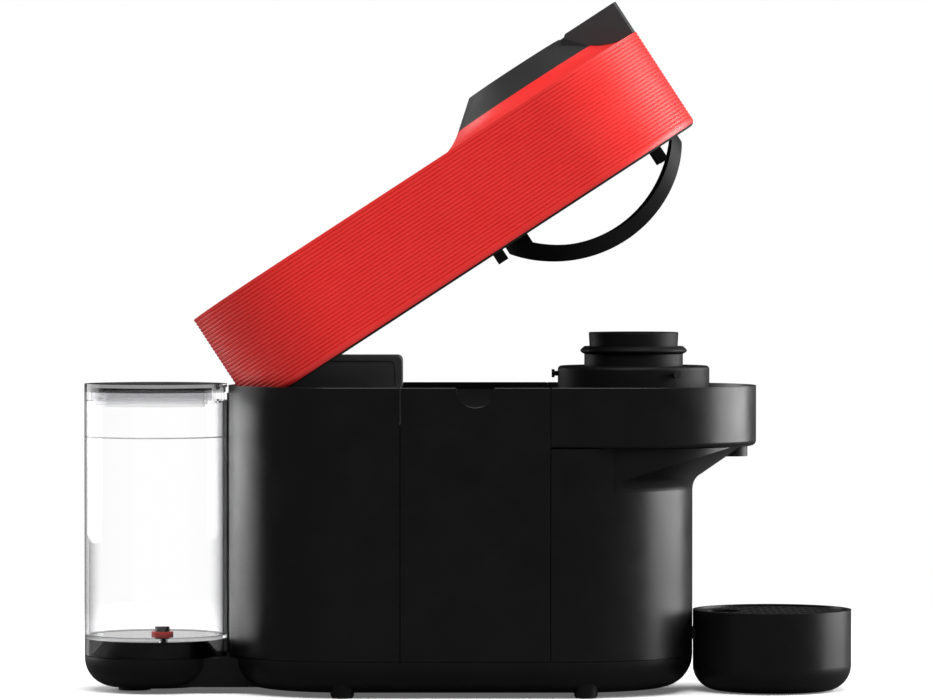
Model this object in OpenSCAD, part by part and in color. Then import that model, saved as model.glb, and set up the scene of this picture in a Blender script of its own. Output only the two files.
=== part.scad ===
// Pod coffee machine with a hinged brewing head, a round water tank behind it
// and a round cup stand in front. Millimetres, +Z up, +X towards the spout.
// The origin is on the ground, under the middle of the machine.

/* [Body] */
// Width of the body, the diameter of its round ends
body_w = 136; // [132:0.5:142]
// Height of the body's top rim above the ground
body_top = 169.3; // [166:0.1:176]
// Length of the body and the head, over their round ends
head_len = 293; // [289:0.5:300]
// How far the head and the band stand out over the body's foot
overhang = 35.3; // [33:0.1:38]
// Wall of the plastic housings
wall = 2.5; // [2:0.1:3]
// Height of the seam between the base and the housings
seam_z = 20.2; // [19:0.1:23]
// Height of the base's underside above the ground
foot_h = 2.3; // [1.6:0.1:2.8]
// Radius of the base's rounded lower edge
base_round = 18.5; // [12:0.5:22]
// Distance of the rear seam from the body's rear end
rear_len = 96.1; // [92:0.1:100]
// Distance of the front seam from the band's front end
front_len = 115; // [111:0.1:119]
// Gap at each upright seam
seam_gap = 0.4; // [0.2:0.05:0.8]
// Height of the overhanging band below the rim
band_h = 33.3; // [32.5:0.1:34]
// Radius of the band's lower edge
band_round = 3; // [1:0.5:5]
// How far the slope under the band reaches out from the foot
flare_reach = 27.5; // [24:0.1:30]
// Height of that slope
flare_drop = 23.6; // [20:0.1:27]
// Radius in the corner between the slope and the foot
flare_r = 9; // [6:0.5:11]
// Thickness of the overhang's floor
shelf_t = 1.6; // [1.2:0.1:1.8]
// Thickness of the rim at its top edge
rim_t = 0.9; // [0.7:0.1:1.2]
// Depth of the bevel inside the rim
rim_bevel = 3.7; // [3:0.1:5]

/* [Hinge] */
// Angle at which the open head stands
open_angle = 33.1; // [20:0.1:34]
// Distance of the hinge from the head's rear end
pivot_back = 32.2; // [31:0.1:36]
// Height of the hinge above the head's underside
pivot_up = 15.8; // [14:0.1:17]
// Gap between the closed head and the body
head_gap = 0.3; // [0.2:0.05:0.6]
// Radius of the hinge pin
pin_r = 3; // [2.5:0.1:4]
// Radial clearance of the hinge pin in its ears
pin_play = 0.05; // [0.02:0.01:0.1]
// Radius of the hinge ears
ear_r = 8.5; // [7:0.5:10]
// Width of the hinge tower
tower_w = 64; // [56:1:70]
// Height of the tower above the body's rim
tower_h = 16.5; // [14:0.1:17]
// Radius of the tower's upper front edge
tower_round = 3; // [1:0.5:5]
// Height of the deck at the back of the body
deck_z = 146.5; // [140:0.5:148]

/* [Head] */
// Height of the head's ribbed wall
head_h = 60.6; // [58:0.1:64]
// Height of the black rim under the head's wall
head_rim = 1.2; // [1:0.1:2]
// Radius of the head's lower edge
head_round = 3.5; // [2.6:0.1:4.5]
// Distance from one rib to the next
rib_pitch = 2.05; // [1.8:0.05:2.6]
// Depth of the grooves between the ribs
rib_depth = 0.45; // [0.3:0.05:0.8]
// Radius of the platform's foot on top of the head
skirt_r = 61.5; // [58:0.5:64]
// Radius of the hollow round the platform
skirt_hollow = 32; // [26:1:40]
// Radius of the platform's top, under the dome
dome_r = 45.1; // [43:0.1:48]
// Height of the platform above the ribbed wall
platform_h = 7.2; // [6:0.1:9]
// Radius of the dome's flat top
dome_top_r = 29.8; // [27:0.1:32]
// Height of the dome
dome_h = 12.4; // [11:0.1:14]
// Wall of the dome
dome_wall = 2.2; // [1.8:0.1:2.6]
// Radius of the round push button
button_r = 11; // [9:0.5:13]
// Travel of the push button
button_travel = 1.2; // [0.8:0.1:1.5]
// Width of the lifting lever at the nose
lever_w = 34; // [28:0.5:40]
// Radius of the lever's pin
lever_pin_r = 1.2; // [1:0.1:1.5]
// Wall of the lever
lever_wall = 2; // [1.6:0.1:2.4]

/* [Ejector and locks] */
// Half the width of the ejector loop
loop_r = 52; // [51:0.5:53]
// How much longer than wide the loop is
loop_extra = 10; // [8:0.5:12]
// Thickness of the loop
loop_t = 2.7; // [2:0.1:3]
// Radius of the loop's arched outer edge, seen from the side
arch_r = 71.5; // [68:0.5:74]
// Depth of the arch below the head
arch_drop = 32.6; // [26:0.1:32.7]
// Width of the arched band at its lowest place
arch_band = 8; // [5:0.1:9]
// How much further back the arch's outer edge lies than its inner edge
arch_shift = 2.3; // [0:0.1:3]
// Length of the loop's solid root at its back
root_len = 13; // [8:0.5:16]
// Depth of the front lock hooks
hook_drop = 8; // [5:0.5:8.5]
// Distance of a lock hook from the middle plane
hook_y = 28; // [27.5:0.1:28.2]

/* [Brewing unit] */
// Radius of the capsule holder's cup
cup_r = 24.9; // [24:0.1:26]
// Inner radius of the cup
cup_bore = 23.9; // [22:0.1:24]
// Height of the cup above the body's rim
cup_h = 29.5; // [27:0.1:30]
// Depth of the cup
cup_depth = 31; // [28:0.5:34]
// Radius of the flange round the holder
flange_r = 29.6; // [28.5:0.1:31]
// Radius of the holder's neck
neck_r = 27.4; // [26.5:0.1:27.8]
// Radius of the lock ring
lock_r = 42.1; // [40:0.1:42.6]
// Height of the lock ring above the body's rim
lock_h = 10.9; // [9:0.1:12]
// Radius of the lock ring's upper edge
lock_round = 2; // [1:0.5:3]
// Length of a lock peg
peg_len = 3.4; // [2.5:0.1:3.6]
// Radius of a lock peg's head
peg_r = 2.3; // [1.8:0.1:2.6]
// Number of lock pegs
peg_count = 3; // [2:1:4]

/* [Container] */
// Wall of the used capsule container
bin_wall = 2.2; // [1.8:0.1:2.8]
// Height of the container's inner walls above the seam
bin_h = 129; // [110:1:131]
// Half the width of the thumb notch
notch_r = 10.3; // [8:0.1:13]
// Depth of the thumb notch
notch_d = 10.9; // [8:0.1:14]
// Distance of the container's far wall behind the middle plane
bin_back = 40; // [30:1:42]

/* [Water tank] */
// Diameter of the water tank
tank_d = 79.2; // [76:0.1:84]
// Gap between the tank and the body
tank_gap = 0.8; // [0.5:0.1:2]
// Wall of the tank
tank_wall = 2.3; // [1.8:0.1:3]
// Height of the tank's open top above the ground
tank_top = 161; // [150:0.5:166]
// Height of the tank's foot above the ground
tank_foot = 19.3; // [18:0.1:24]
// Height of the tank's skirt below its floor
skirt_h = 9.5; // [8:0.1:12]
// Thickness of the tank's floor
tank_floor = 1.9; // [1.5:0.1:3]
// Height of the lid above the tank's rim
lid_h = 9.2; // [7:0.1:11]
// Radius of the tank stand's lower edge
stand_round = 16; // [10:0.5:16.5]
// Radius of the water valve's cap
valve_r = 4.1; // [3:0.1:5]
// Travel of the water valve
valve_travel = 2; // [1:0.1:3]
// Width of the neck between the stand and the base
neck_w = 56; // [40:1:70]

/* [Cup stand] */
// Diameter of the cup stand
tray_d = 88; // [84:0.1:92]
// Gap between the cup stand and the body
tray_gap = 0.3; // [0.2:0.05:1]
// Height of the cup stand
tray_h = 44.8; // [40:0.1:50]
// Radius of the cup stand's lower edge
tray_round = 14; // [8:0.5:18]
// Wall of the cup stand
tray_wall = 2.2; // [1.8:0.1:3]
// Depth of the grid below the cup stand's rim
grid_drop = 1; // [0.5:0.1:2]
// Thickness of the grid
grid_t = 2.6; // [2:0.1:4]
// Distance between the grid's drain holes
grid_pitch = 8; // [7:0.5:12]
// Radius of a drain hole
grid_hole_r = 2; // [1.5:0.1:2.6]
// Radius of the finger hole in the grid
finger_r = 10; // [8:0.5:12]

/* [Spout] */
// Half the width of the spout
spout_r = 8; // [6:0.5:9]
// Length of the spout
spout_len = 15.8; // [13:0.1:17]
// Height of the spout below the band
spout_h = 6.1; // [5:0.1:8]
// Radius of the coffee channel
spout_bore = 3; // [2:0.1:3.5]

/* [Hidden] */
$fn = 96;

// Clearances: between pieces that never move, and between pieces that do
fit = 0.3;
slide = 0.5;
overlap = 0.02;

// Places along the machine
half_w = body_w / 2;
foot_len = head_len - overhang;
bay_len = head_len - rear_len - front_len;
full_len = tank_d + tank_gap + foot_len + tray_gap + tray_d;
rear_x = -full_len / 2 + tank_d + tank_gap;
rear_cx = rear_x + half_w;
foot_cx = rear_x + foot_len - half_w;
drum_x = rear_x + head_len - half_w;
tank_x = -full_len / 2 + tank_d / 2;
tray_x = full_len / 2 - tray_d / 2;
bay_x0 = rear_x + rear_len;
bay_x1 = bay_x0 + bay_len;
bay_mid = (bay_x0 + bay_x1) / 2;

// The body's inside
inner_r = half_w - wall;
bulk_t = 2.5;
plate_t = 2.8;
band_z = body_top - band_h;
duct_wall_y = bin_back + 4;
bulk_top = deck_z - fit;

// The hinge, and the head's own frame: u from its rear end, w above its underside
pivot_x = rear_x + pivot_back;
pivot_z = body_top + head_gap + pivot_up;
drum_u = head_len - half_w;
arm_t = 7;
arm_y = tower_w / 2 + slide;
slot_u0 = 6;
slot_u1 = rear_len + 8;
plate_w = 3;
recess_r = 52.5;
step_w = 14;
step_r = 38;
seat_gap = 0.05;
clamp_r = cup_r + 6.6;
clamp_w = cup_h - head_gap + 0.8;
roof_w = clamp_w + 14;
spindle_r = 5;
bearing_h = 8;
spindle_w = roof_w + 2.5 + bearing_h;
dome_w = head_h + platform_h;
dome_top = dome_w + dome_h;
bowl_r = button_r + 1;
bowl_w = dome_top - 6.5;
board_w = bowl_w - 8;

// The lever and its pin
lever_tip = 32.6;
lever_u = drum_u + 39.5;
lever_z = dome_top - 4.7;
lever_swing = 8.9;
lever_top = dome_top + 0.5;
lever_ear_y = 9;
lever_ear_t = 3;

// The brewing unit
tub_r = lock_r + slide;
tub_wall = 2.6;
tub_z = band_z + shelf_t + fit;
tub_floor = 2.5;
tub_top = 160;
deck_t = 2.5;
hub_r = 12;
bear_r = 8;
shaft_r = 4;
shelf_z = 118.5;
motor_r = 24;
motor_h = 56;
drum_z = tub_z + tub_floor + 6;
duct_x = drum_x + half_w - 12.7;
spout_x1 = duct_x + spout_r;

// The water tank and its dock
tank_r = tank_d / 2;
floor_z = tank_foot + skirt_h;
dock_r = tank_r - tank_wall - 1.7;
dock_taper = 8;
valve_x = tank_x + 3.5;
stand_z = 2.3;
hose_r = 2.5;
hose_z = 11;

// Inside the rear housing
meter_x = rear_x + 41;
heater_x = rear_x + 65;
heater_y = inner_r - 34.5;
heater_r = 26;
leg_r = heater_r - 8;
heater_z0 = seam_z + 4;
heater_z1 = seam_z + 80;
pump_y = -inner_r + 27.5;
pump_z = seam_z + 25;
pump_x0 = rear_x + 49;
pump_x1 = pump_x0 + 38;
port_x = heater_x + 14;

// ---- Shapes used more than once ----

// Sweeps a profile (distance from the middle plane, height) round the body's outline
module sweep(x0, x1, rear = true, front = true) {
  if (front) translate([x1, 0, 0]) rotate([0, 0, -90]) rotate_extrude(angle = 180) children();
  if (rear) translate([x0, 0, 0]) rotate([0, 0, 90]) rotate_extrude(angle = 180) children();
  for (side = [0, 1]) mirror([0, side, 0]) translate([x0, 0, 0]) rotate([90, 0, 90])
    linear_extrude(x1 - x0) children();
}

// A plain band of such a profile, from radius r0 to r1 and height z0 to z1
module band(r0, r1, z0, z1) translate([r0, z0]) square([r1 - r0, z1 - z0]);

// A solid profile with a rounded lower outer edge
module rounded_foot(r, z0, z1, round_r) {
  f = min(round_r, z1 - z0);
  if (z1 - z0 > f) translate([0, z0 + f]) square([r, z1 - z0 - f]);
  translate([0, z0]) square([r - f, f]);
  translate([r - f, z0 + f]) intersection() { circle(f); translate([0, -f]) square(f); }
}

// A disc or ring about the upright axis at x, y
module ring(x, y, r1, z0, z1, r0 = 0) translate([x, y, z0]) difference() {
  cylinder(r = r1, h = z1 - z0, $fn = r1 < 8 ? 36 : 96);
  if (r0 > 0) translate([0, 0, -1]) cylinder(r = r0, h = z1 - z0 + 2);
}

// A block given by its lowest and highest corners
module block(low, high) translate(low) cube(high - low);

// A cylinder lying across the machine, between two distances from the middle plane
module cross_pin(x, z, r, y0, y1) translate([x, y1, z]) rotate([90, 0, 0]) cylinder(r = r, h = y1 - y0);

// Puts a piece of the head, drawn closed in its own frame, at the open position
module in_head() translate([pivot_x, 0, pivot_z]) rotate([0, -open_angle, 0])
  translate([-pivot_back, 0, -pivot_up]) children();

function unit(v) = v / norm(v);

// A hose along a path of square turns
module hose(path, bend, r) {
  last = len(path) - 1;
  for (i = [0 : last - 1]) {
    along = unit(path[i + 1] - path[i]);
    from = path[i] + (i > 0 ? bend : 0) * along;
    to = path[i + 1] - (i < last - 1 ? bend : 0) * along;
    side = abs(along.z) > 0.5 ? [1, 0, 0] : [0, 0, 1];
    across = cross(side, along);
    multmatrix([[side.x, across.x, along.x, from.x], [side.y, across.y, along.y, from.y],
                [side.z, across.z, along.z, from.z], [0, 0, 0, 1]]) cylinder(r = r, h = norm(to - from), $fn = 32);
  }
  for (i = [1 : last - 1]) {
    along = unit(path[i] - path[i - 1]);
    away = unit(path[i + 1] - path[i]);
    axis = cross(-away, along);
    mid = path[i] - bend * along + bend * away;
    multmatrix([[-away.x, along.x, axis.x, mid.x], [-away.y, along.y, axis.y, mid.y],
                [-away.z, along.z, axis.z, mid.z], [0, 0, 0, 1]])
      rotate_extrude(angle = 90) translate([bend, 0]) circle(r, $fn = 32);
  }
}

// ---- Base and housings ----

dock_bore = hose_r + 0.5;

module stand_profile() {
  rounded_foot(tank_r, stand_z, tank_foot, stand_round);
  polygon([[0, tank_foot], [dock_r, tank_foot], [dock_r - dock_taper, floor_z - fit], [0, floor_z - fit]]);
}

module base_pan() color("#19191b") difference() {
  union() {
    difference() {
      union() {
        sweep(rear_cx, foot_cx) rounded_foot(half_w, foot_h, seam_z, base_round);
        translate([tank_x, 0, 0]) rotate_extrude() stand_profile();
        block([tank_x, -neck_w / 2, stand_z + 1.2], [rear_cx - 20, neck_w / 2, tank_foot]);
      }
      sweep(rear_cx, foot_cx) band(0, half_w - wall - fit + overlap, seam_z - plate_t, seam_z + 9);
      sweep(rear_cx, foot_cx) band(0, half_w - base_round - 2, foot_h + wall, seam_z);
    }
    for (p = screw_places()) ring(p.x, p.y, 5, foot_h + 1, seam_z - plate_t);
    for (p = foot_places()) translate([p.x, p.y, foot_sink]) cylinder(r1 = foot_r + 0.5, r2 = foot_r + 2,
      h = seam_z - plate_t - 1 - foot_sink);
  }
  translate([valve_x, 0, hose_z]) rotate([0, 90, 0]) cylinder(r = dock_bore, h = rear_cx - valve_x);
  ring(valve_x, 0, dock_bore, hose_z - 2, floor_z + 5);
  ring(hose_up_x, 0, dock_bore, hose_z, seam_z + 1);
  ring(valve_x, 0, valve_r + 3, floor_z - 6, floor_z + 5);
  for (p = foot_places()) ring(p.x, p.y, foot_r - 0.3, 0, foot_h);
  for (p = screw_places()) ring(p.x, p.y, 1.6, 0, seam_z + 1);
  for (p = screw_places()) ring(p.x, p.y, 3.4, 0, foot_h + 1.2);
}

foot_r = 5.8;
foot_sink = 0.8;
function foot_places() = [for (x = [rear_cx - 3.6, foot_cx + 7.6], y = [12 - half_w, half_w - 12]) [x, y]];
function screw_places() = [for (x = [rear_cx - 2, bay_mid, foot_cx - 3], y = [-40, 40]) [x, y]];

module rubber_feet() color("#2c2c2c") {
  for (p = foot_places()) {
    ring(p.x, p.y, foot_r - 0.35, foot_sink - overlap, foot_h);
    ring(p.x, p.y, foot_r, 0, foot_sink);
  }
  ring(tank_x - 12, 0, 9, 0, stand_z);
}

module base_screws() color("#8d8f93") for (p = screw_places()) {
  ring(p.x, p.y, 3, foot_h + 0.1, foot_h + 1.2);
  ring(p.x, p.y, 1.5, foot_h + 1.2, seam_z - plate_t);
}

module chassis() color("#3a3b3d") difference() {
  union() {
    sweep(rear_cx, foot_cx) band(0, half_w - wall - fit, seam_z - plate_t, seam_z);
    block([bay_x0 - bulk_t - fit, -inner_r + fit, seam_z - overlap], [bay_x0 - fit, inner_r - fit, bulk_top]);
    block([bay_x1 + fit, -inner_r + fit, seam_z - overlap], [bay_x1 + fit + bulk_t, inner_r - fit, band_z - deck_t]);
    block([bay_x0 - fit - overlap, duct_wall_y, seam_z - overlap], [bay_x1 + fit + overlap, duct_wall_y + bulk_t, band_z - deck_t]);
  }
  for (x = [bay_x0 - bulk_t - fit, bay_x1 + fit])
    block([x - 1, duct_wall_y + 7, 90], [x + bulk_t + 1, inner_r - 6, 118]);
  ring(hose_up_x, 0, hose_r + 1, seam_z - plate_t - 1, seam_z + 1);
}

rear_x1 = bay_x0 - seam_gap / 2;
front_x0 = bay_x1 + seam_gap / 2;

// The housing's wall with its thin upper rim
module wall_profile(z0) polygon([[inner_r, z0], [half_w, z0], [half_w, body_top],
  [half_w - rim_t, body_top], [inner_r, body_top - rim_bevel]]);

module rear_housing() color("#1b1b1d") difference() {
  sweep(rear_cx, rear_x1, front = false) wall_profile(seam_z + fit);
  translate([gland_x, gland_y, gland_z]) rotate([0, 90, gland_turn]) cylinder(r = gland_r, h = 12, center = true);
}

gland_turn = 135;
gland_r = 6;
gland_z = seam_z + 12;
gland_x = rear_cx + (half_w - wall / 2) * cos(gland_turn);
gland_y = (half_w - wall / 2) * sin(gland_turn);

// The slope under the band, from the foot's outer face, with its rounded inner corner
module flare_profile() {
  mid = [flare_r + 0.12, -flare_drop];
  to = mid - [flare_reach, 0];
  r = flare_r - 0.1;
  turn = atan2(to.y, to.x) - asin(r / norm(to));
  touch = [flare_reach, 0] + sqrt(to * to - r * r) * [cos(turn), sin(turn)];
  difference() {
    polygon([[-wall + 0.5, -flare_drop], [-wall + 0.5, overlap], [flare_reach, overlap], [flare_reach, 0], touch,
      [mid.x - flare_r / 2, -flare_drop]]);
    translate(mid) circle(flare_r);
  }
}

module front_housing() color("#1b1b1d") difference() {
  union() {
    sweep(front_x0, drum_x, rear = false) rounded_foot(half_w, band_z, body_top, band_round);
    sweep(front_x0, foot_cx, rear = false) band(0, half_w, seam_z + fit, band_z + overlap);
    intersection() {
      translate([foot_cx, 0, 0]) rotate_extrude() translate([half_w, band_z]) flare_profile();
      ring(drum_x, 0, half_w - band_round, seam_z, body_top);
    }
  }
  sweep(front_x0 - 1, drum_x, rear = false) union() {
    band(0, inner_r, band_z + shelf_t, body_top - rim_bevel + overlap);
    polygon([[0, body_top - rim_bevel], [inner_r, body_top - rim_bevel],
      [half_w - rim_t, body_top], [half_w - rim_t, body_top + 1], [0, body_top + 1]]);
  }
  sweep(front_x0 - 1, foot_cx, rear = false) band(0, inner_r, seam_z - 1, band_z + shelf_t + 1);
  // the groove that takes the lowest part of the ejector loop
  intersection() {
    sweep(drum_x - loop_extra / 2, drum_x + loop_extra / 2)
      band(loop_r - loop_t - 2, loop_r + 1.5, band_z - 1.5, band_z + shelf_t + 1);
    block([foot_cx, -half_w, seam_z], [drum_x + 20, half_w, body_top]);
  }
  spout_shape(fit, spout_h + fit);
  ring(duct_x, 0, spout_bore + 1, band_z - 1, band_z + shelf_t + 1);
  for (y = [-hook_tab_y, hook_tab_y]) tray_tab(y, fit, 10);
}

module side_panel() color("#1b1b1d") difference() {
  block([rear_x1 + seam_gap, inner_r, seam_z + fit], [front_x0 - seam_gap, half_w, body_top]);
  translate([rear_x1, inner_r, body_top]) rotate([0, 90, 0]) linear_extrude(bay_len + 1)
    polygon([[-1, -1], [0, -1], [rim_bevel, 0], [0, wall - rim_t], [-1, wall - rim_t]]);
}

// ---- Hinge tower ----

module hinge_tower() color("#1f1f21") difference() {
  union() {
    sweep(rear_cx, bay_x0 - fit, front = false) band(0, inner_r - fit, deck_z, deck_z + bulk_t);
    block([pivot_x - 7, -tower_w / 2, deck_z + overlap], [bay_x0 - fit, tower_w / 2, body_top]);
    block([pivot_x - 7, -tower_w / 2, body_top - overlap], [bay_x0 + slide, tower_w / 2, body_top + tower_h]);
    for (side = [-1, 1]) cross_pin(pivot_x, pivot_z, ear_r, side > 0 ? tower_w / 2 - 10 : -tower_w / 2,
      side > 0 ? tower_w / 2 : -tower_w / 2 + 10);
  }
  // the rounded upper front edge
  difference() {
    block([bay_x0 + slide - tower_round, -tower_w, body_top + tower_h - tower_round],
      [bay_x0 + 5, tower_w, body_top + tower_h + 5]);
    cross_pin(bay_x0 + slide - tower_round, body_top + tower_h - tower_round, tower_round, -tower_w, tower_w);
  }
  // the hollow inside and the pocket for the spring
  block([pivot_x + 12, -tower_w / 2 + 3, deck_z - 5], [bay_x0 - 3, tower_w / 2 - 3, body_top + tower_h - 3]);
  block([pivot_x - 12, -tower_w / 2 + 10, pivot_z - 9], [pivot_x + 9, tower_w / 2 - 10, pivot_z + 12]);
  cross_pin(pivot_x, pivot_z, pin_r + pin_play, -tower_w, tower_w);
}

module hinge_pin() color("#b9bcc0") {
  cross_pin(pivot_x, pivot_z, pin_r, -arm_y - arm_t - 0.2, arm_y + arm_t + 0.2);
  for (side = [0, 1]) mirror([0, side, 0])
    cross_pin(pivot_x, pivot_z, pin_r + 1.5, arm_y + arm_t + 0.2, arm_y + arm_t + 1.4);
}

spring_len = tower_w - 20 - 2 * fit;
spring_turns = 16;
spring_pitch = spring_len / spring_turns;

module hinge_spring() color("#9a9da1") translate([pivot_x, spring_len / 2, pivot_z]) rotate([90, 0, 0])
  rotate_extrude() polygon(concat([[pin_r + 0.2, 0]],
    [for (i = [0 : spring_turns - 1]) each [[pin_r + 1.6, i * spring_pitch],
      [pin_r + 2.6, (i + 0.5) * spring_pitch]]],
    [[pin_r + 1.6, spring_len], [pin_r + 0.2, spring_len]]));

// ---- Brewing unit in the body ----

module brew_deck() color("#2a2a2c") difference() {
  sweep(bay_x1 + fit, foot_cx, rear = false) band(0, inner_r - fit, band_z - deck_t, band_z);
  ring(drum_x, 0, hub_r + slide, band_z - deck_t - 1, band_z + 1);
}

module drum_housing() color("#2f3032") translate([drum_x, 0, 0]) difference() {
  rotate_extrude() union() {
    band(0, tub_r + tub_wall, tub_z, tub_z + tub_floor);
    band(tub_r, tub_r + tub_wall, tub_z + tub_floor - overlap, tub_top);
    band(motor_r, motor_r + 3.5, band_z, tub_z + overlap);
    band(0, hub_r, tub_z - 10, tub_z + overlap);
  }
  translate([0, 0, tub_z - 11]) cylinder(r = bear_r + 0.05, h = 9);
  translate([0, 0, tub_z - 11]) cylinder(r = shaft_r + 1, h = 30);
  // the way out for the coffee
  block([tub_r - 5, -4, tub_z + tub_floor], [tub_r + 5, 4, tub_z + tub_floor + 5]);
}

module drum_bearing() color("#a8abb0") ring(drum_x, 0, bear_r, tub_z - 10, tub_z - 2, shaft_r + 0.05);

module coffee_duct() color("#2f3032") difference() {
  block([drum_x + tub_r + tub_wall - 1, -7, tub_z], [duct_x + 5, 7, tub_z + 10]);
  ring(drum_x, 0, tub_r + tub_wall + 0.05, tub_z - 1, tub_z + 20);
  block([drum_x + tub_r - 2, -4, tub_z + tub_floor], [duct_x + 3, 4, tub_z + tub_floor + 5]);
  ring(duct_x, 0, spout_bore, tub_z - 1, tub_z + tub_floor + 1);
}

// The spout's outline, a slot shape under the band, with a rounded nose
module spout_shape(grow, h) translate([0, 0, band_z - h]) {
  translate([duct_x, 0, 0]) cylinder(r = spout_r + grow, h = h);
  translate([spout_x1 - spout_len - grow, -spout_r - grow, 0])
    cube([spout_len - spout_r + grow, 2 * (spout_r + grow), h]);
}

module spout() color("#232325") difference() {
  spout_shape(0, spout_h);
  ring(duct_x, 0, spout_bore, band_z - spout_h - 1, band_z + 1);
  ring(duct_x, 0, spout_bore + 1.6, band_z - spout_h - 1, band_z - spout_h + 1);
}

module motor_shelf() color("#3a3b3d") difference() {
  sweep(bay_x1 + fit + bulk_t + fit, foot_cx, rear = false) band(0, inner_r - fit, shelf_z, shelf_z + 3);
  ring(drum_x, 0, 10, shelf_z - 1, shelf_z + 4);
  for (p = motor_screw_places()) ring(p.x, p.y, 1.6, shelf_z - 1, shelf_z + 4);
}

function motor_screw_places() = [for (a = [45 : 90 : 315]) [drum_x + 17 * cos(a), 17 * sin(a)]];

module motor_screws() color("#8d8f93") for (p = motor_screw_places()) {
  ring(p.x, p.y, 1.5, shelf_z - 5, shelf_z + 3);
  ring(p.x, p.y, 2.8, shelf_z + 3, shelf_z + 4.6);
}

module drum_motor() color("#7d8084") difference() {
  union() {
    ring(drum_x, 0, motor_r, shelf_z - motor_h, shelf_z - 3);
    ring(drum_x, 0, motor_r - 3, shelf_z - motor_h - 3, shelf_z - 3);
    ring(drum_x, 0, motor_r - 2, shelf_z - 4, shelf_z);
    ring(drum_x, 0, 9, shelf_z - 1, shelf_z + 2);
  }
  ring(drum_x, 0, shaft_r + 0.05, shelf_z - 12, shelf_z + 3);
  for (p = motor_screw_places()) ring(p.x, p.y, 1.5, shelf_z - 5, shelf_z + 1);
}

module drum_shaft() color("#b9bcc0") ring(drum_x, 0, shaft_r, shelf_z - 11, drum_z);

module capsule_holder() color("#111113") translate([drum_x, 0, 0]) rotate_extrude() {
  top = body_top + cup_h;
  flange_z = body_top + 19.3;
  difference() {
    polygon([[0, drum_z], [neck_r, drum_z], [neck_r, flange_z - 2], [flange_r - 0.6, flange_z - 1],
      [flange_r, flange_z - 0.3], [flange_r, flange_z + 0.3], [flange_r - 0.6, flange_z + 1],
      [neck_r, flange_z + 2.4], [cup_r - 0.4, flange_z + 2.4], [cup_r, top - 0.5], [cup_r - 0.4, top], [0, top]]);
    translate([0, top - cup_depth + cup_bore * 0.62]) square([cup_bore, cup_depth]);
    translate([0, top - cup_depth]) square([cup_bore * 0.38, cup_depth]);
    translate([cup_bore * 0.38, top - cup_depth + cup_bore * 0.62]) circle(cup_bore * 0.62);
  }
}

lock_bore = neck_r + 3.2;
lock_bottom = tub_z + tub_floor + fit;

module lock_ring() color("#161618") difference() {
  translate([drum_x, 0, 0]) rotate_extrude() difference() {
    mirror([0, 1, 0]) rounded_foot(lock_r, -body_top - lock_h, -lock_bottom, lock_round);
    translate([0, lock_bottom - 1]) square([lock_bore, 60]);
  }
  for (i = [0 : peg_count - 1]) translate([drum_x, 0, peg_z]) rotate([0, 90, 180 + i * 360 / peg_count])
    translate([0, 0, lock_r - 3]) cylinder(r = 1.4, h = 10, $fn = 32);
}

peg_z = body_top + 6.6;

module lock_pegs() color("#1a1a1c") for (i = [0 : peg_count - 1])
  translate([drum_x, 0, peg_z]) rotate([0, 90, 180 + i * 360 / peg_count]) {
    translate([0, 0, lock_r - 3]) cylinder(r = 1.4, h = 3 + peg_len - 1.6, $fn = 32);
    translate([0, 0, lock_r + peg_len - 1.6]) cylinder(r = peg_r, h = 1.6, $fn = 32);
  }

// ---- Water system in the body ----

hose_up_x = rear_x + 22;

module water_pump() color("#d9d9d4") difference() {
  union() {
    translate([pump_x0, pump_y, pump_z]) rotate([0, 90, 0]) cylinder(r = 15, h = pump_x1 - pump_x0);
    translate([pump_x0 + 9, pump_y - 17, pump_z - 17]) cube([16, 34, 34]);
    translate([pump_x0 - 3.8, pump_y, pump_z]) rotate([0, 90, 0]) cylinder(r = 4, h = 5);
    ring(port_x, pump_y, 4, pump_z + 10, pump_z + 20);
  }
  translate([pump_x0 - 6, pump_y, pump_z]) rotate([0, 90, 0]) cylinder(r = hose_r + 0.05, h = 4.5);
  ring(port_x, pump_y, hose_r + 0.05, pump_z + 16, pump_z + 21);
}

module pump_mounts() color("#3c3c3c") difference() {
  for (x = [pump_x0 + 1, pump_x1 - 8]) block([x, pump_y - 9, seam_z], [x + 6, pump_y + 9, pump_z - 6]);
  translate([pump_x0 - 1, pump_y, pump_z]) rotate([0, 90, 0]) cylinder(r = 15, h = 60);
}

module flow_meter() color("#e6e6e0") difference() {
  union() {
    ring(meter_x, 0, 11, seam_z, seam_z + 17);
    translate([meter_x - 14, 0, seam_z + 10]) rotate([0, 90, 0]) cylinder(r = 4, h = 8);
    ring(meter_x, 0, 4, seam_z + 16, seam_z + 20);
  }
  translate([meter_x - 15, 0, seam_z + 10]) rotate([0, 90, 0]) cylinder(r = hose_r + 0.05, h = 5);
  ring(meter_x, 0, hose_r + 0.05, seam_z + 17, seam_z + 21);
}

module thermoblock() color("#b4b6b8") difference() {
  union() {
    translate([heater_x, heater_y, 0]) rotate_extrude() polygon(concat([[0, heater_z0]],
      [for (i = [0 : 5]) let (z = heater_z0 + i * (heater_z1 - heater_z0) / 6, d = (heater_z1 - heater_z0) / 6)
        each [[heater_r, z], [heater_r, z + 0.7 * d], [heater_r - 2, z + 0.75 * d], [heater_r - 2, z + 0.95 * d]]],
      [[0, heater_z1]]));
    for (x = [heater_x - 10, port_x]) ring(x, heater_y, 4.5, heater_z1 - 8, heater_z1 + 6);
  }
  for (x = [heater_x - 10, port_x]) ring(x, heater_y, hose_r + 0.05, heater_z1, heater_z1 + 7);
}

module heater_legs() color("#55565a") for (a = [30 : 120 : 270])
  ring(heater_x + leg_r * cos(a), heater_y + leg_r * sin(a), 3, seam_z, heater_z0);

board_x = bay_x0 - bulk_t - fit - 6;
board_y0 = -inner_r + 5.5;
board_y1 = board_y0 + 48;
board_z0 = seam_z + 51.8;
board_z1 = bulk_top - 12.2;

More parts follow.
